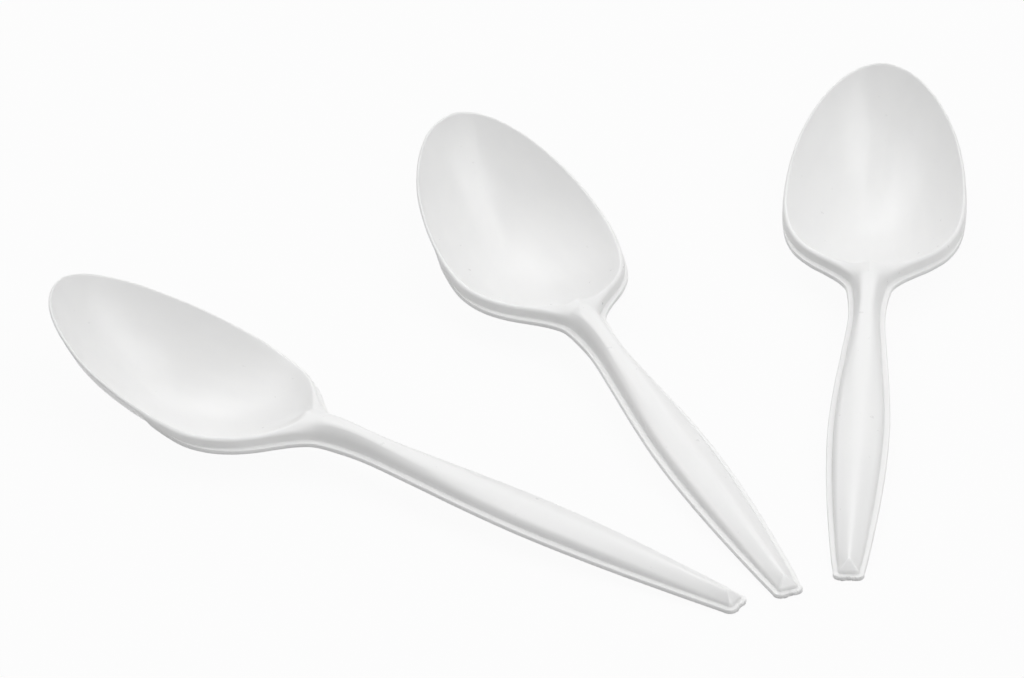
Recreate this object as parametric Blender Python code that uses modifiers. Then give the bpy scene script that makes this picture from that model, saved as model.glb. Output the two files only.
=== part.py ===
"""Three disposable plastic teaspoons, fanned out on a table. Metres, +Z up.

Each spoon is one injection moulding: a thin shell whose bowl rim turns down at the back into a skirt wall with an
out-turned flange at its foot. Skirt and flange run on round the handle, which is an upside-down channel.
"""

import math

import bmesh
import bpy
import numpy as np
from mathutils import Matrix, Vector

# Overall sizes of one spoon
HANDLE_LENGTH = 0.0942
BOWL_LENGTH = 0.0558
BOWL_WIDTH = 0.0343
WALL = 0.0010

# The handle over its flanges
NECK_WIDTH = 0.0067
GRIP_WIDTH = 0.0116
END_WIDTH = 0.0056
GRIP_FROM_END = 0.0445
NECK_FROM_BOWL = 0.0068

# Its flange and wall, at the end, the grip and the neck, and at the back of the bowl
FLANGE_THICKNESS = 0.0009
END_FLANGE = 0.00095
GRIP_FLANGE = 0.0012
NECK_FLANGE = 0.0011
END_WALL_HEIGHT = 0.0005
GRIP_WALL_HEIGHT = 0.0015
NECK_WALL_HEIGHT = 0.0017
SKIRT_HEIGHT = 0.0018
WALL_BATTER = 0.12

# The handle's roof above its walls, how round its ridge and shoulders are, and the hip that closes it at the end
END_ROOF_RISE = 0.0014
GRIP_ROOF_RISE = 0.0013
NECK_ROOF_RISE = 0.0013
END_RIDGE = 0.22
GRIP_RIDGE = 0.32
NECK_RIDGE = 0.9
NECK_FULLNESS = 2.0
END_SHOULDER = 0.0004
GRIP_SHOULDER = 0.0010
NECK_SHOULDER = 0.0009
HIP_LENGTH = 0.0022
END_WALL_FROM_END = END_FLANGE + WALL_BATTER * END_WALL_HEIGHT
HIP_FROM_END = END_WALL_FROM_END + HIP_LENGTH

# Heights above the table
NECK_RISE = 0.0069
NECK_RISE_POWER = 1.2
RIM_HEIGHT = 0.0088
TIP_HEIGHT = 0.0210
CREST_RISE = 0.0020
CREST_ABOVE_RIM = 0.0003
REST_FLAT_DEPTH = 0.00025

# The rim: a thin edge round the tip, and inside it a land that widens to the back, where it crosses over the neck
PLAIN_RIM_EDGE = 0.0003
RIM_TAPER = 0.0025
RIM_CORNER = 0.00025
SKIRT_CORNER = 0.0006
CREST_LAND = 0.0053
LAND_BLEND = 0.0007
LAND_BLEND_SHARE = 0.7

# The bowl's floor: its lowest point and its back edge as shares of the bowl's length, how steeply it closes, and how
# round it is at the bottom
FLOOR_AT = 0.45
BACK_AT = -0.02
TIP_POWER = 2.0
SIDE_POWER = 2.0
BACK_POWER = 1.9
FLOOR_ROUNDING = 0.15
DISH_LIFT = 0.003

# The bowl's outline from its tip to the neck: how far along the bowl and out to its side, its share of the rise to
# the tip, where its section meets the middle line, and its share of skirt, flange, land and bowl
BOWL_OUTLINE = (
    (1.000, 0.000, 1.000, 0.640, 0.00, 0.00, 0.08, 1.00),
    (0.990, 0.207, 0.955, 0.635, 0.00, 0.00, 0.08, 1.00),
    (0.960, 0.383, 0.885, 0.618, 0.00, 0.00, 0.08, 1.00),
    (0.906, 0.552, 0.785, 0.590, 0.00, 0.00, 0.08, 1.00),
    (0.830, 0.710, 0.660, 0.555, 0.00, 0.00, 0.08, 1.00),
    (0.730, 0.852, 0.500, 0.515, 0.00, 0.00, 0.08, 1.00),
    (0.610, 0.950, 0.350, 0.470, 0.00, 0.00, 0.09, 1.00),
    (0.500, 0.996, 0.218, 0.425, 0.12, 0.00, 0.09, 1.00),
    (0.395, 1.010, 0.112, 0.375, 0.60, 0.00, 0.10, 1.00),
    (0.305, 0.976, 0.025, 0.325, 0.92, 0.15, 0.10, 1.00),
    (0.228, 0.900, 0.000, 0.280, 1.00, 0.45, 0.10, 1.00),
    (0.160, 0.790, 0.000, 0.235, 1.00, 0.68, 0.11, 1.00),
    (0.100, 0.625, 0.000, 0.185, 1.00, 0.82, 0.13, 1.00),
    (0.050, 0.445, 0.005, 0.130, 1.00, 0.90, 0.20, 1.00),
    (0.003, 0.300, 0.012, 0.060, 0.98, 0.96, 0.36, 0.90),
    (-0.050, 0.195, 0.018, -0.020, 0.96, 1.00, 0.55, 0.35),
    (-0.110, 0.158, 0.020, -0.100, 0.95, 1.00, 0.40, 0.00),
)

# Rows along the handle, as shares of its length from the hip to the neck, and round its end: how far out from the end
# wall's foot, as a share of the hip, and how far out to the corner
HANDLE_ROWS = (1.0, 0.85, 0.7, 0.55, 0.4, 0.25, 0.12, 0.03)
END_ROWS = ((0.5, 1.0), (0.1, 1.0), (0.0, 0.93), (0.0, 0.5), (0.0, 0.0))

# How finely the shell is divided: along its outline, over the bowl's floor, over the land and round the edge
STEPS_PER_ROW = 2
FLOOR_STEPS = 5
FLOOR_CROWDING = 1.4
LAND_STEPS = 4
EDGE_STEPS = 2
LAND_START = 0.0010
EDGE_SHARE = 0.68
SKIRT_GROWTH = 0.0006
SLOPE_RUN = 0.0001
SLOPE_SHARE = 0.001
MEETING_STEP = 0.004
MEETING_LOWEST = 0.4
SAME_POINT = 1e-6
SHARP_EDGE = 40.0

# Where each spoon's handle end lies beside the others', and the way that its bowl points
SPOONS = {
    "spoon_right": (0.0617, -0.0838, 86.5),
    "spoon_middle": (0.0511, -0.0890, 114.4),
    "spoon_left": (0.0419, -0.0930, 147.6),
}


def ease(t):
    """A smooth step from 0 to 1."""
    t = min(1.0, max(0.0, t))
    return t * t * (3 - 2 * t)


def mix(a, b, t):
    return a + (b - a) * t


def along_handle(x, end, grip, neck):
    """A size that changes from the handle's end through its grip to its neck."""
    if x < GRIP_FROM_END:
        return mix(end, grip, math.sin(math.pi / 2 * x / GRIP_FROM_END))
    neck_from_end = HANDLE_LENGTH - NECK_FROM_BOWL
    return mix(grip, neck, ease((x - GRIP_FROM_END) / (neck_from_end - GRIP_FROM_END)))


def wall_height(x):
    return along_handle(x, END_WALL_HEIGHT, GRIP_WALL_HEIGHT, NECK_WALL_HEIGHT)


def shoulder_height(x):
    """The top of the handle's wall: the handle lifts off the table towards the neck."""
    lift = NECK_RISE * (1 - (1 - min(1.0, x / HANDLE_LENGTH)) ** NECK_RISE_POWER)
    return lift + FLANGE_THICKNESS + wall_height(x)


def middle_roof(x):
    """The handle's ridge, and past the neck the crest that comes down to the back edge of the bowl."""
    crest = RIM_HEIGHT + CREST_RISE + CREST_ABOVE_RIM
    ridge = shoulder_height(x) + along_handle(x, END_ROOF_RISE, GRIP_ROOF_RISE, NECK_ROOF_RISE)
    blend_from = HANDLE_LENGTH - 3 * NECK_FROM_BOWL
    neck = mix(ridge, crest, ease((x - blend_from) / (HANDLE_LENGTH - blend_from)))
    back = (x - HANDLE_LENGTH + NECK_FROM_BOWL / 2) / (BACK_AT * BOWL_LENGTH + NECK_FROM_BOWL / 2)
    return mix(neck, RIM_HEIGHT + CREST_RISE, ease(back))


def middle_dish(x):
    """The bowl's surface on the middle line, carried on upwards behind the bowl's back edge."""
    floor = WALL - REST_FLAT_DEPTH
    floor_x = HANDLE_LENGTH + FLOOR_AT * BOWL_LENGTH
    if x > floor_x:
        ahead = (x - floor_x) / (HANDLE_LENGTH + BOWL_LENGTH - floor_x)
        return mix(floor, TIP_HEIGHT, ahead**TIP_POWER)
    behind = (floor_x - x) / ((FLOOR_AT - BACK_AT) * BOWL_LENGTH)
    return mix(floor, RIM_HEIGHT + CREST_RISE, behind**BACK_POWER)


def handle_row(x):
    flange = along_handle(x, END_FLANGE, GRIP_FLANGE, NECK_FLANGE)
    width = along_handle(x, END_WIDTH, GRIP_WIDTH, NECK_WIDTH)
    half_width = width / 2 - flange - WALL_BATTER * wall_height(x)
    corner = along_handle(x, END_SHOULDER, GRIP_SHOULDER, NECK_SHOULDER)
    return (x, half_width, shoulder_height(x), x, wall_height(x), flange, half_width / 2, 0.0, 0.0, corner)


def control_rows():
    """Rows from the bowl's tip along the rim and shoulder to the middle of the handle's end: x, y and z of the edge,
    x where its section meets the middle line, wall height, flange width, land and its rise, share of bowl, and how
    far the edge is rounded."""
    rows = []
    for along, across, rise, middle, skirt, flange, land, bowl in BOWL_OUTLINE:
        rows.append((
            HANDLE_LENGTH + along * BOWL_LENGTH,
            across * BOWL_WIDTH / 2,
            mix(RIM_HEIGHT, TIP_HEIGHT, rise),
            HANDLE_LENGTH + middle * BOWL_LENGTH,
            skirt * mix(NECK_WALL_HEIGHT, SKIRT_HEIGHT, bowl),
            flange * NECK_FLANGE,
            land * CREST_LAND,
            land * CREST_RISE,
            bowl,
            mix(NECK_SHOULDER, mix(RIM_CORNER, SKIRT_CORNER, skirt), bowl),
        ))
    for share in HANDLE_ROWS:
        rows.append(handle_row(mix(HIP_FROM_END, HANDLE_LENGTH - 2 * NECK_FROM_BOWL, share)))
    corner = handle_row(END_WALL_FROM_END)
    for back, out in END_ROWS:
        rows.append((END_WALL_FROM_END + back * HIP_LENGTH, out * corner[1], corner[2], HIP_FROM_END) + corner[4:])
    return np.array(rows)


def flow(rows, steps):
    """A smooth curve through the control rows. Each row's slope comes from its two neighbours."""
    mirrored = np.ones(rows.shape[1])
    mirrored[1] = -1
    chord = np.linalg.norm(np.diff(rows[:, :2], axis=0), axis=1) ** 0.5
    before = np.vstack([rows[1] * mirrored, rows[:-1]])
    after = np.vstack([rows[1:], rows[-2] * mirrored])
    gap_before = np.append(chord[0], chord)[:, None]
    gap_after = np.append(chord, chord[-1])[:, None]
    slope = (rows - before) / gap_before * gap_after + (after - rows) / gap_after * gap_before
    slope /= gap_before + gap_after
    out = []
    for i, gap in enumerate(chord):
        for t in np.arange(steps) / steps:
            here = rows[i] * (1 + 2 * t) + slope[i] * gap * t
            there = rows[i + 1] * (3 - 2 * t) - slope[i + 1] * gap * (1 - t)
            out.append(here * (1 - t) ** 2 + there * t**2)
    out.append(rows[-1])
    return np.array(out)


def rounded(before, corner, after, size, shares, steps):
    """A corner of the section, rounded off from `size` before it to `size` after it."""
    ends = []
    for side, most in zip((before, after), shares):
        length = max(SAME_POINT, np.linalg.norm(side - corner))
        ends.append(corner + (side - corner) * min(most, size / length))
    return [ends[0] * (1 - t) ** 2 + corner * 2 * t * (1 - t) + ends[1] * t * t for t in np.linspace(0, 1, steps + 1)]


def lower(a, b, blend):
    """The lower of two surfaces, blended where they meet."""
    near = max(0.0, blend - abs(a - b)) / blend
    return min(a, b) - near * near * blend / 4


def section(row):
    """The closed section at one row, from the middle line over the rim or shoulder, down the wall, round the flange
    and back under the shell. Each point: how far out from the middle line, how far beyond the edge square to the
    outline, and how high."""
    x, y, z, middle, height, flange, land, land_rise, bowl, corner = row
    reach = math.hypot(x - middle, y)
    land_at = 1 - land / reach
    floor = middle_dish(middle)
    ridge = middle_roof(middle)
    lean = (middle_dish(middle + SLOPE_RUN) - floor) / SLOPE_RUN * (x - middle) * bowl
    power = mix(TIP_POWER, SIDE_POWER, min(1, 2 * y / BOWL_WIDTH))
    flat = FLOOR_ROUNDING**power
    full = math.hypot(1, FLOOR_ROUNDING) ** power - flat
    roundness = along_handle(x, END_RIDGE, GRIP_RIDGE, NECK_RIDGE)
    blend = min(LAND_BLEND, LAND_BLEND_SHARE * land)
    grown = max(1 - bowl, ease((height - PLAIN_RIM_EDGE) / SKIRT_GROWTH))

    def top(s):
        share = s / land_at
        dish = mix(floor, max(floor, z + land_rise), (math.hypot(share, FLOOR_ROUNDING) ** power - flat) / full)
        dish += lean * share * max(0.0, 1 - share) ** 2 + DISH_LIFT * (1 - bowl)
        handle_roof = (math.hypot(s, roundness) - roundness) / (math.hypot(1, roundness) - roundness)
        handle_roof **= along_handle(x, 1.0, 1.0, NECK_FULLNESS)
        roof = mix(mix(ridge, z, handle_roof), z + land_rise * (1 - s) / (1 - land_at), bowl)
        return np.array((reach * s, 0.0, lower(dish, roof, blend) if bowl > 0 else roof))

    def under(s):
        """The wall is square to a bowl's surface, upright under a handle's roof, and thin at a rim with no skirt."""
        here = top(s)
        run, _, rise = top(s + SLOPE_SHARE) - here
        rise = max(0.0, rise)
        length = math.hypot(run, rise)
        thin = (1 - grown) * ease(1 - (1 - s) * reach / RIM_TAPER)
        wall = mix(WALL, PLAIN_RIM_EDGE, thin)
        return here + np.array((bowl * wall * rise / length, 0.0, -wall * mix(1, run / length, bowl)))

    foot = WALL_BATTER * height
    foot_z = z - max(height, PLAIN_RIM_EDGE)
    low = foot_z - FLANGE_THICKNESS * grown
    hit = 1.0
    while hit > MEETING_LOWEST and under(hit)[0] > reach + (foot - WALL) * grown and low < under(hit)[2] < z:
        hit -= MEETING_STEP
    met = under(hit)
    hollow = np.array((met[0], 0.0, max(low, met[2])))
    wall_low = np.array((reach, min(0.0, foot - WALL), low)) if met[0] <= reach else np.array((met[0], 0.0, low))
    corners = [
        np.array((reach, foot, foot_z)),
        np.array((reach, foot + flange, foot_z)),
        np.array((reach, foot + flange, low)),
        mix(met, wall_low, grown),
        mix(met, hollow, grown),
    ]
    edge_at = 1 - corner / reach
    land_from = max(0.3, min(edge_at - 0.1, land_at - LAND_START / reach))
    floor_at = land_from * np.linspace(0, 1, FLOOR_STEPS + 1)[:-1] ** FLOOR_CROWDING
    across = np.append(floor_at, np.linspace(land_from, edge_at, LAND_STEPS))
    points = [top(s) for s in across]
    way_back = [under(s * hit) for s in across[::-1]]
    edge = rounded(points[-1], np.array((reach, 0.0, z)), corners[0], corner, (1.0, EDGE_SHARE), EDGE_STEPS)
    return points[:-1] + edge + corners + way_back


def half_spoon():
    """A grid bent into half a spoon: one way runs along the outline, the other round the closed section."""
    rows = flow(control_rows(), STEPS_PER_ROW)
    rows[:, 3] = np.maximum(rows[:, 3], HIP_FROM_END)
    sections = [section(row) for row in rows]
    tangent = np.gradient(rows[:, :2], axis=0)
    tangent[0] = (0, 1)
    tangent[-1] = (0, -1)
    tangent /= np.linalg.norm(tangent, axis=1)[:, None]
    last_row = len(rows) - 1
    last_point = len(sections[0]) - 1
    bm = bmesh.new()
    bmesh.ops.create_grid(bm, x_segments=last_row, y_segments=last_point, size=0.5)
    for vert in bm.verts:
        i = round((vert.co.x + 0.5) * last_row)
        j = round((vert.co.y + 0.5) * last_point)
        x, y, _, middle = rows[i][:4]
        reach = math.hypot(x - middle, y)
        out, beyond, level = sections[i][j]
        on_middle = i in (0, last_row) or j in (0, last_point)
        side = y / reach * out - tangent[i][0] * beyond
        vert.co.x = middle + (x - middle) / reach * out + tangent[i][1] * beyond
        vert.co.y = 0.0 if on_middle else max(0.0, side)
        vert.co.z = max(0.0, level)
    bmesh.ops.remove_doubles(bm, verts=bm.verts, dist=SAME_POINT)
    bmesh.ops.recalc_face_normals(bm, faces=bm.faces)
    return bm


def polystyrene():
    """Glossy white moulded polystyrene."""
    material = bpy.data.materials.new("White polystyrene")
    material.use_nodes = True
    shader = material.node_tree.nodes["Principled BSDF"]
    shader.inputs["Base Color"].default_value = (0.82, 0.82, 0.82, 1.0)
    shader.inputs["Roughness"].default_value = 0.25
    shader.inputs["Metallic"].default_value = 0.0
    return material


def spoon_mesh():
    bm = half_spoon()
    mesh = bpy.data.meshes.new("Spoon")
    bm.to_mesh(mesh)
    bm.free()
    mesh.materials.append(polystyrene())
    mesh.shade_smooth()
    mesh.set_sharp_from_angle(angle=math.radians(SHARP_EDGE))
    return mesh


def placings(mesh):
    """Each spoon's place, shifted so that the middle of the whole fan is at the origin."""
    places = {}
    corners = []
    for name, (x, y, turn) in SPOONS.items():
        places[name] = Matrix.Translation((x, y, 0)) @ Matrix.Rotation(math.radians(turn), 4, "Z")
        for vert in mesh.vertices:
            for side in (1, -1):
                corners.append(places[name] @ Vector((vert.co.x, side * vert.co.y, vert.co.z)))
    low = [min(corner[axis] for corner in corners) for axis in range(3)]
    high = [max(corner[axis] for corner in corners) for axis in range(3)]
    middle = Vector(((low[0] + high[0]) / 2, (low[1] + high[1]) / 2, low[2]))
    return {name: Matrix.Translation(-middle) @ place for name, place in places.items()}


def main():
    for old in list(bpy.data.objects):
        bpy.data.objects.remove(old)
    pack = bpy.data.collections.new("Plastic cutlery pack")
    bpy.context.scene.collection.children.link(pack)
    mesh = spoon_mesh()
    for name, place in placings(mesh).items():
        spoon = bpy.data.objects.new(name, mesh)
        spoon.matrix_world = place
        other_half = spoon.modifiers.new("Other half", "MIRROR")
        other_half.use_axis = (False, True, False)
        other_half.merge_threshold = SAME_POINT
        pack.objects.link(spoon)


main()
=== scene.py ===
"""Three disposable plastic teaspoons fanned out on a white table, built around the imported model."""

import math

import bmesh
import bpy
import numpy as np
from mathutils import Matrix, Vector, noise


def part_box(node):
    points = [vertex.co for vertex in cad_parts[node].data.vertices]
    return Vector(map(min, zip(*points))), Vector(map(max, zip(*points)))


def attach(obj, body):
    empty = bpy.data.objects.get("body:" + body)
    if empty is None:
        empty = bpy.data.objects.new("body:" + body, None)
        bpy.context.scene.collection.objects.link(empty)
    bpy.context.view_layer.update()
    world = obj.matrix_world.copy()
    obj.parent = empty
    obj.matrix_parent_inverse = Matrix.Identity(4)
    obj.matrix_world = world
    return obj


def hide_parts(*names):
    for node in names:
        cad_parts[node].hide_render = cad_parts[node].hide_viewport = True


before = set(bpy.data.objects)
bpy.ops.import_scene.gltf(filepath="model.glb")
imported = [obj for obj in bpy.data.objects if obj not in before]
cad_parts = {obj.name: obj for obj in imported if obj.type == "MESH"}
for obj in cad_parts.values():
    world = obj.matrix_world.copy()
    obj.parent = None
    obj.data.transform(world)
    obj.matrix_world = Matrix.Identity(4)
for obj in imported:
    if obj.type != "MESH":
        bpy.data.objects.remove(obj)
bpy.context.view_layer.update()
scene = bpy.context.scene
scene.view_settings.view_transform = "Standard"

# The camera
# A long lens almost three metres away looks down on the spoons from the side of their handles'
# ends, so their sizes hardly change from front to back.
LOOK_AT = Vector((0.00009, 0.01448, 0.0))
LOOK_DOWN = math.radians(32.09)
CAMERA_DISTANCE = 2.809
CAMERA_LENS = 524.8

camera = bpy.data.objects.new("camera", bpy.data.cameras.new("camera"))
camera.data.lens = CAMERA_LENS
camera.location = LOOK_AT + CAMERA_DISTANCE * Vector((0, -math.cos(LOOK_DOWN), math.sin(LOOK_DOWN)))
camera.rotation_euler = (math.pi / 2 - LOOK_DOWN, 0, 0)
scene.collection.objects.link(camera)
scene.camera = camera

# The teaspoon's shape
# One thin polystyrene shell, injection moulded in one shot. The bowl's rim turns down at the back
# into a skirt wall with an out-turned flange at its foot, and both run on round the handle, which
# is an upside-down channel.
HANDLE_LENGTH = 0.0942
BOWL_LENGTH = 0.0558
BOWL_WIDTH = 0.0343
WALL = 0.0010

# The handle over its flanges
NECK_WIDTH = 0.0067
GRIP_WIDTH = 0.0116
END_WIDTH = 0.0056
GRIP_FROM_END = 0.0445
NECK_FROM_BOWL = 0.0068

# Its flange and wall, at the end, the grip and the neck, and at the back of the bowl
FLANGE_THICKNESS = 0.0009
END_FLANGE = 0.00095
GRIP_FLANGE = 0.0012
NECK_FLANGE = 0.0011
END_WALL_HEIGHT = 0.0005
GRIP_WALL_HEIGHT = 0.0015
NECK_WALL_HEIGHT = 0.0017
SKIRT_HEIGHT = 0.0018
WALL_BATTER = 0.12

# The handle's roof above its walls, how round its ridge and shoulders are, and the hip that
# closes it at the end
END_ROOF_RISE = 0.0014
GRIP_ROOF_RISE = 0.0013
NECK_ROOF_RISE = 0.0013
END_RIDGE = 0.22
GRIP_RIDGE = 0.32
NECK_RIDGE = 0.9
NECK_FULLNESS = 2.0
END_SHOULDER = 0.0004
GRIP_SHOULDER = 0.0010
NECK_SHOULDER = 0.0009
HIP_LENGTH = 0.0022
END_WALL_FROM_END = END_FLANGE + WALL_BATTER * END_WALL_HEIGHT
HIP_FROM_END = END_WALL_FROM_END + HIP_LENGTH

# Heights above the table
NECK_RISE = 0.0069
NECK_RISE_POWER = 1.2
CREST_BLEND_FROM_BOWL = 3 * NECK_FROM_BOWL
RIM_HEIGHT = 0.0088
TIP_HEIGHT = 0.0210
CREST_RISE = 0.0020
CREST_ABOVE_RIM = 0.0003
REST_FLAT_DEPTH = 0.00025

# The rim: a thin edge round the tip, and inside it a land that widens to the back, where it
# crosses over the neck
PLAIN_RIM_EDGE = 0.0003
RIM_TAPER = 0.0025
RIM_CORNER = 0.00025
SKIRT_CORNER = 0.0006
CREST_LAND = 0.0053
LAND_BLEND = 0.0007
LAND_BLEND_SHARE = 0.7

# The bowl's floor: its lowest point and its back edge as shares of the bowl's length, how steeply
# it closes, how round it is at the bottom, and how far it is held up where the bowl ends
FLOOR_AT = 0.45
BACK_AT = -0.02
TIP_POWER = 2.0
SIDE_POWER = 2.0
BACK_POWER = 1.9
FLOOR_ROUNDING = 0.15
DISH_LIFT = 0.003

# The bowl's outline from its tip to the neck: how far along the bowl and out to its side, its
# share of the rise to the tip, where its section meets the middle line, and its share of skirt,
# flange, land and bowl
BOWL_OUTLINE = (
    (1.000, 0.000, 1.000, 0.640, 0.00, 0.00, 0.08, 1.00),
    (0.990, 0.207, 0.955, 0.635, 0.00, 0.00, 0.08, 1.00),
    (0.960, 0.383, 0.885, 0.618, 0.00, 0.00, 0.08, 1.00),
    (0.906, 0.552, 0.785, 0.590, 0.00, 0.00, 0.08, 1.00),
    (0.830, 0.710, 0.660, 0.555, 0.00, 0.00, 0.08, 1.00),
    (0.730, 0.852, 0.500, 0.515, 0.00, 0.00, 0.08, 1.00),
    (0.610, 0.950, 0.350, 0.470, 0.00, 0.00, 0.09, 1.00),
    (0.500, 0.996, 0.218, 0.425, 0.12, 0.00, 0.09, 1.00),
    (0.395, 1.010, 0.112, 0.375, 0.60, 0.00, 0.10, 1.00),
    (0.305, 0.976, 0.025, 0.325, 0.92, 0.15, 0.10, 1.00),
    (0.228, 0.900, 0.000, 0.280, 1.00, 0.45, 0.10, 1.00),
    (0.160, 0.790, 0.000, 0.235, 1.00, 0.68, 0.11, 1.00),
    (0.100, 0.625, 0.000, 0.185, 1.00, 0.82, 0.13, 1.00),
    (0.050, 0.445, 0.005, 0.130, 1.00, 0.90, 0.20, 1.00),
    (0.003, 0.300, 0.012, 0.060, 0.98, 0.96, 0.36, 0.90),
    (-0.050, 0.195, 0.018, -0.020, 0.96, 1.00, 0.55, 0.35),
    (-0.110, 0.158, 0.020, -0.100, 0.95, 1.00, 0.40, 0.00),
)

# Rows along the handle, as shares of its length from the hip to the neck, and round its end
HANDLE_ROWS = (1.0, 0.85, 0.7, 0.55, 0.4, 0.25, 0.12, 0.03)
END_ROWS = ((0.5, 1.0), (0.16, 1.0), (0.04, 0.87), (0.0, 0.5), (0.0, 0.0))
STEPS_PER_ROW = 8

# The section's finer division, and the rounding that moulding leaves on each corner
FLOOR_STEPS = 16
LAND_STEPS = 14
LAND_START = 0.0010
FINER_FROM = 0.3
FINER_LENGTH = 0.1
EDGE_STEPS = 8
FLANGE_STEPS = 4
HOLLOW_STEPS = 3
FILLET = 0.00025
FLANGE_ROUNDING = 0.0003
FLANGE_UNDER_ROUNDING = 0.00015
WALL_FOOT_ROUNDING = 0.00015
HOLLOW_ROUNDING = 0.0004
EDGE_SHARE = 0.68
CORNER_SHARE = 0.3
FLANGE_SHARE = 0.45
SKIRT_GROWTH = 0.0006
SLOPE_RUN = 0.0001
SLOPE_SHARE = 0.001
MEETING_STEP = 0.004
MEETING_LOWEST = 0.4
SAME_POINT = 1e-6

# The handle's end edge, left rough where the spoon was snapped off its sprue
SNAPPED_DEPTH = 0.0006
SNAPPED_ROUGHNESS = 0.0003
SNAPPED_GRAIN = 0.00035
GATE_WIDTH = 0.0012
GATE_DENT = 0.00018


def ease(t):
    """A smooth step from 0 to 1."""
    t = min(1.0, max(0.0, t))
    return t * t * (3 - 2 * t)


def mix(a, b, t):
    return a + (b - a) * t


def along_handle(x, end, grip, neck):
    """A size that changes from the handle's end through its grip to its neck."""
    if x < GRIP_FROM_END:
        return mix(end, grip, math.sin(math.pi / 2 * x / GRIP_FROM_END))
    neck_from_end = HANDLE_LENGTH - NECK_FROM_BOWL
    return mix(grip, neck, ease((x - GRIP_FROM_END) / (neck_from_end - GRIP_FROM_END)))


def wall_height(x):
    return along_handle(x, END_WALL_HEIGHT, GRIP_WALL_HEIGHT, NECK_WALL_HEIGHT)


def shoulder_height(x):
    """The top of the handle's wall: the handle lifts off the table towards the neck."""
    lift = NECK_RISE * (1 - (1 - min(1.0, x / HANDLE_LENGTH)) ** NECK_RISE_POWER)
    return lift + FLANGE_THICKNESS + wall_height(x)


def middle_roof(x):
    """The handle's ridge, and past the neck the crest that comes down to the back edge of the bowl."""
    crest = RIM_HEIGHT + CREST_RISE + CREST_ABOVE_RIM
    ridge = shoulder_height(x) + along_handle(x, END_ROOF_RISE, GRIP_ROOF_RISE, NECK_ROOF_RISE)
    blend_from = HANDLE_LENGTH - CREST_BLEND_FROM_BOWL
    neck = mix(ridge, crest, ease((x - blend_from) / (HANDLE_LENGTH - blend_from)))
    back = (x - HANDLE_LENGTH + NECK_FROM_BOWL / 2) / (BACK_AT * BOWL_LENGTH + NECK_FROM_BOWL / 2)
    return mix(neck, RIM_HEIGHT + CREST_RISE, ease(back))


def middle_dish(x):
    """The bowl's surface on the middle line, carried on upwards behind the bowl's back edge."""
    floor = WALL - REST_FLAT_DEPTH
    floor_x = HANDLE_LENGTH + FLOOR_AT * BOWL_LENGTH
    if x > floor_x:
        ahead = (x - floor_x) / (HANDLE_LENGTH + BOWL_LENGTH - floor_x)
        return mix(floor, TIP_HEIGHT, ahead**TIP_POWER)
    behind = (floor_x - x) / ((FLOOR_AT - BACK_AT) * BOWL_LENGTH)
    return mix(floor, RIM_HEIGHT + CREST_RISE, behind**BACK_POWER)


def handle_row(x):
    flange = along_handle(x, END_FLANGE, GRIP_FLANGE, NECK_FLANGE)
    width = along_handle(x, END_WIDTH, GRIP_WIDTH, NECK_WIDTH)
    half_width = width / 2 - flange - WALL_BATTER * wall_height(x)
    corner = along_handle(x, END_SHOULDER, GRIP_SHOULDER, NECK_SHOULDER)
    land = half_width / 2
    return (x, half_width, shoulder_height(x), x, wall_height(x), flange, land, 0.0, 0.0, corner)


def outline_rows():
    """Rows from the bowl's tip along the rim and shoulder to the middle of the handle's end.

    Each row: x, y and z of the edge, x where its section meets the middle line, wall height, flange
    width, land and its rise, share of bowl, and how far the edge is rounded.
    """
    rows = []
    for along, across, rise, middle, skirt, flange, land, bowl in BOWL_OUTLINE:
        rows.append((
            HANDLE_LENGTH + along * BOWL_LENGTH,
            across * BOWL_WIDTH / 2,
            mix(RIM_HEIGHT, TIP_HEIGHT, rise),
            HANDLE_LENGTH + middle * BOWL_LENGTH,
            skirt * mix(NECK_WALL_HEIGHT, SKIRT_HEIGHT, bowl),
            flange * NECK_FLANGE,
            land * CREST_LAND,
            land * CREST_RISE,
            bowl,
            mix(NECK_SHOULDER, mix(RIM_CORNER, SKIRT_CORNER, skirt), bowl),
        ))
    for share in HANDLE_ROWS:
        rows.append(handle_row(mix(HIP_FROM_END, HANDLE_LENGTH - 2 * NECK_FROM_BOWL, share)))
    corner = handle_row(END_WALL_FROM_END)
    for back, out in END_ROWS:
        edge = (END_WALL_FROM_END + back * HIP_LENGTH, out * corner[1], corner[2], HIP_FROM_END)
        rows.append(edge + corner[4:])
    return np.array(rows)


def flow(rows, steps):
    """A smooth curve through the rows. Each row's slope comes from its two neighbours."""
    mirrored = np.ones(rows.shape[1])
    mirrored[1] = -1
    chord = np.linalg.norm(np.diff(rows[:, :2], axis=0), axis=1) ** 0.5
    before = np.vstack([rows[1] * mirrored, rows[:-1]])
    after = np.vstack([rows[1:], rows[-2] * mirrored])
    gap_before = np.append(chord[0], chord)[:, None]
    gap_after = np.append(chord, chord[-1])[:, None]
    slope = (rows - before) / gap_before * gap_after + (after - rows) / gap_after * gap_before
    slope /= gap_before + gap_after
    out = []
    for i, gap in enumerate(chord):
        for t in np.arange(steps) / steps:
            here = rows[i] * (1 + 2 * t) + slope[i] * gap * t
            there = rows[i + 1] * (3 - 2 * t) - slope[i + 1] * gap * (1 - t)
            out.append(here * (1 - t) ** 2 + there * t**2)
    out.append(rows[-1])
    return np.array(out)


def rounded(before, corner, after, size, shares, steps):
    """A corner of the section, rounded off from `size` before it to `size` after it."""
    ends = []
    for side, most in zip((before, after), shares):
        length = max(SAME_POINT, np.linalg.norm(side - corner))
        ends.append(corner + (side - corner) * min(most, size / length))
    start, end = ends
    along = np.linspace(0, 1, steps + 1)
    return [start * (1 - t) ** 2 + corner * 2 * t * (1 - t) + end * t * t for t in along]


def lower(a, b, blend):
    """The lower of two surfaces, blended where they meet."""
    near = max(0.0, blend - abs(a - b)) / blend
    return min(a, b) - near * near * blend / 4


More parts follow.
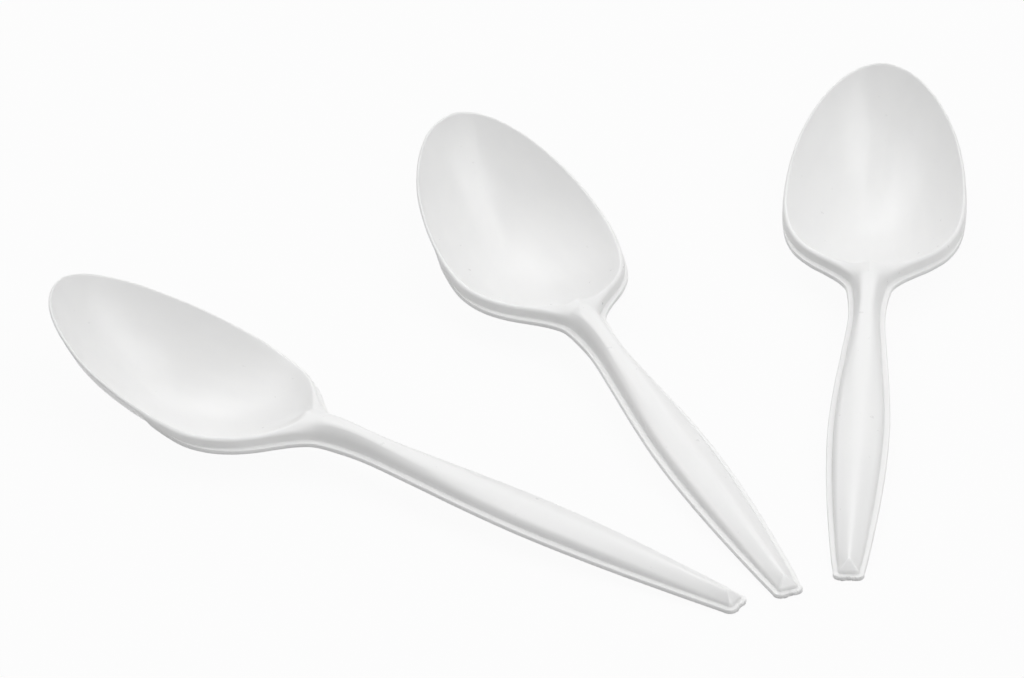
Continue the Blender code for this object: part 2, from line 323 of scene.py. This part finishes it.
def section(row):
    """The closed section at one row, from the middle line over the rim or shoulder, down the wall,
    round the flange and back under the shell.

    Each point: how far out from the middle line, how far beyond the edge square to the outline, and
    how high.
    """
    x, y, z, middle, height, flange, land, land_rise, bowl, corner = row
    reach = math.hypot(x - middle, y)
    land_at = 1 - land / reach
    floor = middle_dish(middle)
    ridge = middle_roof(middle)
    lean = (middle_dish(middle + SLOPE_RUN) - floor) / SLOPE_RUN * (x - middle) * bowl
    power = mix(TIP_POWER, SIDE_POWER, min(1, 2 * y / BOWL_WIDTH))
    flat = FLOOR_ROUNDING**power
    full = math.hypot(1, FLOOR_ROUNDING) ** power - flat
    roundness = along_handle(x, END_RIDGE, GRIP_RIDGE, NECK_RIDGE)
    blend = min(LAND_BLEND, LAND_BLEND_SHARE * land)
    grown = max(1 - bowl, ease((height - PLAIN_RIM_EDGE) / SKIRT_GROWTH))

    def top(s):
        share = s / land_at
        climb = (math.hypot(share, FLOOR_ROUNDING) ** power - flat) / full
        dish = mix(floor, max(floor, z + land_rise), climb)
        dish += lean * share * max(0.0, 1 - share) ** 2 + DISH_LIFT * (1 - bowl)
        handle_roof = (math.hypot(s, roundness) - roundness) / (math.hypot(1, roundness) - roundness)
        handle_roof **= along_handle(x, 1.0, 1.0, NECK_FULLNESS)
        roof = mix(mix(ridge, z, handle_roof), z + land_rise * (1 - s) / (1 - land_at), bowl)
        return np.array((reach * s, 0.0, lower(dish, roof, blend) if bowl > 0 else roof))

    def under(s):
        """Square to a bowl's surface, upright under a handle's roof, thin at a rim with no skirt."""
        here = top(s)
        run, _, rise = top(s + SLOPE_SHARE) - here
        rise = max(0.0, rise)
        length = math.hypot(run, rise)
        thin = (1 - grown) * ease(1 - (1 - s) * reach / RIM_TAPER)
        wall = mix(WALL, PLAIN_RIM_EDGE, thin)
        return here + np.array((bowl * wall * rise / length, 0.0, -wall * mix(1, run / length, bowl)))

    foot = WALL_BATTER * height
    foot_z = z - max(height, PLAIN_RIM_EDGE)
    low = foot_z - FLANGE_THICKNESS * grown
    hit = 1.0
    wall_inside = reach + (foot - WALL) * grown
    while hit > MEETING_LOWEST and under(hit)[0] > wall_inside and low < under(hit)[2] < z:
        hit -= MEETING_STEP
    met = under(hit)
    hollow = np.array((met[0], 0.0, max(low, met[2])))
    wall_low = np.array((met[0], 0.0, low))
    if met[0] <= reach:
        wall_low = np.array((reach, min(0.0, foot - WALL), low))
    even = (CORNER_SHARE, CORNER_SHARE)
    outer = (CORNER_SHARE, FLANGE_SHARE)
    corners = (
        (np.array((reach, 0.0, z)), corner, (1.0, EDGE_SHARE), EDGE_STEPS),
        (np.array((reach, foot, foot_z)), FILLET, even, FLANGE_STEPS),
        (np.array((reach, foot + flange, foot_z)), FLANGE_ROUNDING, outer, FLANGE_STEPS),
        (np.array((reach, foot + flange, low)), FLANGE_UNDER_ROUNDING, even, FLANGE_STEPS),
        (mix(met, wall_low, grown), WALL_FOOT_ROUNDING, even, HOLLOW_STEPS),
        (mix(met, hollow, grown), HOLLOW_ROUNDING, even, HOLLOW_STEPS),
    )
    edge_at = 1 - corner / reach
    finer_from = max(FINER_FROM, min(edge_at - FINER_LENGTH, land_at - LAND_START / reach))
    coarse = np.linspace(0, finer_from, FLOOR_STEPS + 1)[:-1]
    across = np.append(coarse, np.linspace(finer_from, edge_at, LAND_STEPS))
    points = [top(s) for s in across]
    way_back = [under(s * hit) for s in across[::-1]]
    chain = [points[-1]] + [place[0] for place in corners] + [way_back[0]]
    for i, (place, size, shares, steps) in enumerate(corners):
        points += rounded(chain[i], place, chain[i + 2], size, shares, steps)
    return points + way_back


def snap_off(bm):
    """Roughens the end of the handle, and dents it where the gate was."""
    for vert in bm.verts:
        at_end = ease((SNAPPED_DEPTH - vert.co.x) / SNAPPED_DEPTH)
        if at_end > 0:
            grain = vert.co / SNAPPED_GRAIN
            gate = ease(1 - 2 * abs(vert.co.y) / GATE_WIDTH)
            vert.co.x += at_end * (SNAPPED_ROUGHNESS * abs(noise.noise(grain)) + GATE_DENT * gate)
            vert.co.z = max(0.0, vert.co.z + at_end * SNAPPED_ROUGHNESS * noise.noise(-grain) / 2)


def spoon_shape():
    """A grid bent into half a spoon and mirrored: one way along the outline, the other round the
    closed section."""
    rows = flow(outline_rows(), STEPS_PER_ROW)
    rows[:, 3] = np.maximum(rows[:, 3], HIP_FROM_END)
    sections = [section(row) for row in rows]
    tangent = np.gradient(rows[:, :2], axis=0)
    tangent[0] = (0, 1)
    tangent[-1] = (0, -1)
    tangent /= np.linalg.norm(tangent, axis=1)[:, None]
    last_row = len(rows) - 1
    last_point = len(sections[0]) - 1
    bm = bmesh.new()
    bmesh.ops.create_grid(bm, x_segments=last_row, y_segments=last_point, size=0.5)
    for vert in bm.verts:
        i = round((vert.co.x + 0.5) * last_row)
        j = round((vert.co.y + 0.5) * last_point)
        x, y, _, middle = rows[i][:4]
        reach = math.hypot(x - middle, y)
        out, beyond, level = sections[i][j]
        on_middle = i in (0, last_row) or j in (0, last_point)
        side = y / reach * out - tangent[i][0] * beyond
        vert.co.x = middle + (x - middle) / reach * out + tangent[i][1] * beyond
        vert.co.y = 0.0 if on_middle else max(0.0, side)
        vert.co.z = max(0.0, level)
    bmesh.ops.mirror(bm, geom=bm.verts[:] + bm.edges[:] + bm.faces[:], axis="Y", merge_dist=SAME_POINT)
    bmesh.ops.remove_doubles(bm, verts=bm.verts, dist=SAME_POINT)
    snap_off(bm)
    bmesh.ops.recalc_face_normals(bm, faces=bm.faces)
    return bm


# White polystyrene, moulded in a polished tool
# It gives the eye a clean neutral white with a soft gloss, a faint glow where light passes through
# the thin wall, a slight waviness where the melt flowed from the gate towards the tip, and a fine
# haze from handling.
POLYSTYRENE_IOR = 1.59
POLYSTYRENE_WHITE = "F3F3F2"
POLYSTYRENE_SHADE = "EEEEEE"
POLYSTYRENE_ROUGHNESS = (0.24, 0.36)
GLOW = 0.6
GLOW_DEPTH = 0.0015

# The flow lines' spacing and the haze's patches in millimetres, and how many times longer than
# their spacing the lines are. The real haze is finer, and this one is as coarse as it needs to be
# to show.
MILLIMETRES = 1000.0
FLOW_SPACING = 4.0
FLOW_STRETCH = 5.0
FLOW_DETAIL = 3.0
FLOW_HEIGHT = 0.00002
HAZE_SIZE = 1.5
HAZE_DETAIL = 4.0


def linear(hex_colour):
    """An sRGB hex colour as linear light."""
    channels = [int(hex_colour[i : i + 2], 16) / 255 for i in (0, 2, 4)]
    return tuple(((c + 0.055) / 1.055) ** 2.4 if c > 0.04045 else c / 12.92 for c in channels) + (1.0,)


def add(material, kind, settings=(), values=(), links=()):
    """A node with its settings, its sockets' values and the links into it."""
    node = material.node_tree.nodes.new("ShaderNode" + kind)
    for name, value in dict(settings).items():
        setattr(node, name, value)
    for socket, value in dict(values).items():
        node.inputs[socket].default_value = value
    for socket, source in dict(links).items():
        material.node_tree.links.new(source, node.inputs[socket])
    return node


polystyrene = bpy.data.materials.new("white moulded polystyrene")
polystyrene.use_nodes = True
shader = polystyrene.node_tree.nodes["Principled BSDF"]
moulding = add(polystyrene, "Attribute", {"attribute_name": "moulding"})
lines_a_metre = MILLIMETRES / FLOW_SPACING
along_flow = add(
    polystyrene,
    "Mapping",
    values={"Scale": (lines_a_metre / FLOW_STRETCH, lines_a_metre, lines_a_metre)},
    links={"Vector": moulding.outputs["Vector"]},
)
flow_lines = add(
    polystyrene,
    "TexNoise",
    values={"Scale": 1.0, "Detail": FLOW_DETAIL},
    links={"Vector": along_flow.outputs["Vector"]},
)
haze = add(
    polystyrene,
    "TexNoise",
    values={"Scale": MILLIMETRES / HAZE_SIZE, "Detail": HAZE_DETAIL},
    links={"Vector": moulding.outputs["Vector"]},
)
whiteness = add(
    polystyrene,
    "Mix",
    {"data_type": "RGBA"},
    {6: linear(POLYSTYRENE_SHADE), 7: linear(POLYSTYRENE_WHITE)},
    {0: flow_lines.outputs["Fac"]},
)
gloss = add(
    polystyrene,
    "MapRange",
    values={"To Min": POLYSTYRENE_ROUGHNESS[0], "To Max": POLYSTYRENE_ROUGHNESS[1]},
    links={"Value": haze.outputs["Fac"]},
)
ripple = add(
    polystyrene,
    "Bump",
    values={"Strength": 1.0, "Distance": FLOW_HEIGHT},
    links={"Height": flow_lines.outputs["Fac"]},
)
polystyrene.node_tree.links.new(whiteness.outputs[2], shader.inputs["Base Color"])
polystyrene.node_tree.links.new(gloss.outputs["Result"], shader.inputs["Roughness"])
polystyrene.node_tree.links.new(ripple.outputs["Normal"], shader.inputs["Normal"])
shader.inputs["IOR"].default_value = POLYSTYRENE_IOR
shader.inputs["Subsurface Weight"].default_value = GLOW
shader.inputs["Subsurface Radius"].default_value = (1.0, 1.0, 1.0)
shader.inputs["Subsurface Scale"].default_value = GLOW_DEPTH

# The three teaspoons
# All are the same moulding, lying bowl up and apart, with nothing between them. Each is turned to
# the way that its bowl points, in degrees round from the right, and laid on its own solid.
TURNS = {"spoon_left": 147.6, "spoon_middle": 114.4, "spoon_right": 86.5}

half = spoon_shape()
spoon_mesh = bpy.data.meshes.new("teaspoon")
half.to_mesh(spoon_mesh)
half.free()
spoon_mesh.materials.append(polystyrene)
spoon_mesh.shade_smooth()
place = spoon_mesh.attributes.new("moulding", "FLOAT_VECTOR", "POINT")
place.data.foreach_set("vector", np.array([vert.co for vert in spoon_mesh.vertices]).ravel())

for node, turn in TURNS.items():
    mesh = spoon_mesh.copy()
    mesh.transform(Matrix.Rotation(math.radians(turn), 4, "Z"))
    corners = np.array([vert.co for vert in mesh.vertices])
    low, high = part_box(node)
    middle = (low + high) / 2
    own_middle = (corners.min(0) + corners.max(0)) / 2
    drop = low.z - corners[:, 2].min()
    mesh.transform(Matrix.Translation((middle.x - own_middle[0], middle.y - own_middle[1], drop)))
    teaspoon = bpy.data.objects.new("teaspoon." + node.split("_")[1], mesh)
    scene.collection.objects.link(teaspoon)
    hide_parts(node)
    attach(teaspoon, "root")

# The white table and the light
# The table shows almost pure white to the camera and in reflections, and keeps a trace of the
# spoons' shadows. Wide soft lamps stand at the front right, the back left and the back, and a plain
# pale room fills the rest.
TABLE_SIZE = 20.0
TABLE_DROP = 0.0001
TABLE_COLOUR = "C4C4C4"
WHITE_SHARE = 0.95
ROOM_LIGHT = 0.37
LAMP_SIZE = 2.2
LAMP_DISTANCE = 2.5

# Each lamp: how many degrees it stands round from the front and above the table, and its watts
LAMPS = {
    "front right": (60.0, 55.0, 25.0),
    "back left": (240.0, 55.0, 14.5),
    "back": (180.0, 55.0, 14.5),
}


def seen(material):
    """1 where the eye meets the surface, straight or by a reflection or through something clear,
    and 0 where light does."""
    ray = add(material, "LightPath")
    met = ray.outputs["Is Camera Ray"]
    for kind in ("Is Glossy Ray", "Is Transmission Ray"):
        either = add(material, "Math", {"operation": "MAXIMUM"}, links={0: met, 1: ray.outputs[kind]})
        met = either.outputs[0]
    return met


table_shape = bmesh.new()
bmesh.ops.create_grid(table_shape, x_segments=1, y_segments=1, size=TABLE_SIZE / 2)
bmesh.ops.translate(table_shape, verts=table_shape.verts, vec=(0, 0, -TABLE_DROP))
table_mesh = bpy.data.meshes.new("table")
table_shape.to_mesh(table_mesh)
table_shape.free()
table = bpy.data.objects.new("table", table_mesh)
scene.collection.objects.link(table)

laminate = bpy.data.materials.new("white laminate")
laminate.use_nodes = True
laminate.node_tree.nodes.clear()
matt = add(laminate, "BsdfDiffuse", values={"Color": linear(TABLE_COLOUR)})
white = add(laminate, "Emission", values={"Strength": 1.0})
share = add(laminate, "Math", {"operation": "MULTIPLY"}, {1: WHITE_SHARE}, {0: seen(laminate)})
both = add(
    laminate,
    "MixShader",
    links={0: share.outputs[0], 1: matt.outputs["BSDF"], 2: white.outputs["Emission"]},
)
add(laminate, "OutputMaterial", links={"Surface": both.outputs["Shader"]})
table_mesh.materials.append(laminate)

room = bpy.data.worlds.new("pale room")
room.use_nodes = True
room.node_tree.nodes.clear()
level = add(
    room,
    "MapRange",
    values={"To Min": ROOM_LIGHT, "To Max": 1.0},
    links={"Value": seen(room)},
)
room_light = add(
    room,
    "Background",
    values={"Color": (1.0, 1.0, 1.0, 1.0)},
    links={"Strength": level.outputs["Result"]},
)
add(room, "OutputWorld", links={"Surface": room_light.outputs["Background"]})
scene.world = room

for name, (round_from_front, up, power) in LAMPS.items():
    lamp = bpy.data.objects.new("lamp " + name, bpy.data.lights.new("lamp " + name, "AREA"))
    lamp.data.size = LAMP_SIZE
    lamp.data.energy = power
    turn = math.radians(round_from_front)
    across = LAMP_DISTANCE * math.cos(math.radians(up))
    height = LAMP_DISTANCE * math.sin(math.radians(up))
    lamp.location = (across * math.sin(turn), -across * math.cos(turn), height)
    lamp.rotation_euler = (-lamp.location).to_track_quat("-Z", "Y").to_euler()
    scene.collection.objects.link(lamp)
